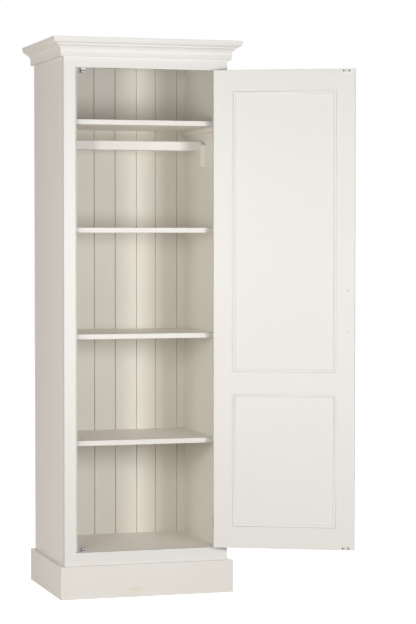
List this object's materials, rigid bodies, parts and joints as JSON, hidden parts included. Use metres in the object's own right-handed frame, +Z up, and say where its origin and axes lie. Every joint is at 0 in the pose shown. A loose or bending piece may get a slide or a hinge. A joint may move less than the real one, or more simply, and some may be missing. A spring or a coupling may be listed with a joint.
{
  "type": "cupboard",
  "caption": "Tall narrow painted wooden cupboard with a hinged panelled door, shelves, a hanging rail, moulded cornice and plinth.",
  "frame": {"origin": "on the floor, under the middle of the front plinth board, halfway through its length and thickness", "axes": "+X to the right seen from the front, +Y from the front to the back, +Z up; the front faces -Y"},
  "size_m": [1.0611, 0.7311, 2],
  "materials": {
    "front_paint": "off-white satin paint on planed softwood",
    "side_paint": "off-white satin paint on planed softwood",
    "inside_paint": "off-white eggshell paint on planed softwood",
    "plated_steel": "nickel-plated sheet steel",
    "catch_case": "satin anodised case of a magnetic catch",
    "handle_metal": "brushed pewter-coloured metal"
  },
  "bodies": {
    "carcass": {"left_side_panel": "side_paint", "right_side_panel": "side_paint", "top_panel": "side_paint", "bottom_panel": "inside_paint", "left_frame_stile": "front_paint", "right_frame_stile": "front_paint", "frame_top_rail": "front_paint", "frame_bottom_rail": "front_paint", "door_stop_lath": "inside_paint", "back_board_1": "inside_paint", "back_board_2": "inside_paint", "back_board_3": "inside_paint", "back_board_4": "inside_paint", "back_board_5": "inside_paint", "back_board_6": "inside_paint", "back_board_7": "inside_paint", "back_board_8": "inside_paint", "cornice_front": "front_paint", "cornice_left": "side_paint", "cornice_right": "side_paint", "plinth_front": "front_paint", "plinth_left": "side_paint", "plinth_right": "side_paint", "shelf_1": "inside_paint", "shelf_2": "inside_paint", "shelf_3": "inside_paint", "shelf_4": "inside_paint", "shelf_1_cleat_left": "inside_paint", "shelf_1_cleat_right": "inside_paint", "shelf_2_cleat_left": "inside_paint", "shelf_2_cleat_right": "inside_paint", "shelf_3_cleat_left": "inside_paint", "shelf_3_cleat_right": "inside_paint", "shelf_4_cleat_left": "inside_paint", "shelf_4_cleat_right": "inside_paint", "hanging_rail": "inside_paint", "rail_block_left": "inside_paint", "rail_block_right": "inside_paint", "bottom_catch": "catch_case", "top_catch": "catch_case", "hinge_frame_leaf_bottom": "plated_steel", "hinge_frame_leaf_middle": "plated_steel", "hinge_frame_leaf_top": "plated_steel"},
    "door": {"door_free_stile": "front_paint", "door_hinge_stile": "front_paint", "door_bottom_rail": "front_paint", "door_middle_rail": "front_paint", "door_top_rail": "front_paint", "door_lower_panel": "front_paint", "door_upper_panel": "front_paint", "door_lower_inner_bead": "front_paint", "door_lower_outer_bead": "front_paint", "door_upper_inner_bead": "front_paint", "door_upper_outer_bead": "front_paint", "hinge_door_leaf_bottom": "plated_steel", "hinge_door_leaf_middle": "plated_steel", "hinge_door_leaf_top": "plated_steel", "bottom_keeper": "plated_steel", "top_keeper": "plated_steel", "door_handle": "handle_metal"}
  },
  "joints": [
    {"name": "door_hinge", "type": "hinge", "parent": "carcass", "child": "door", "pos_m": [0.254, 0.00605, 1.03025], "axis": [0, 0, 1], "range_deg": [-154, 26]}
  ]
}
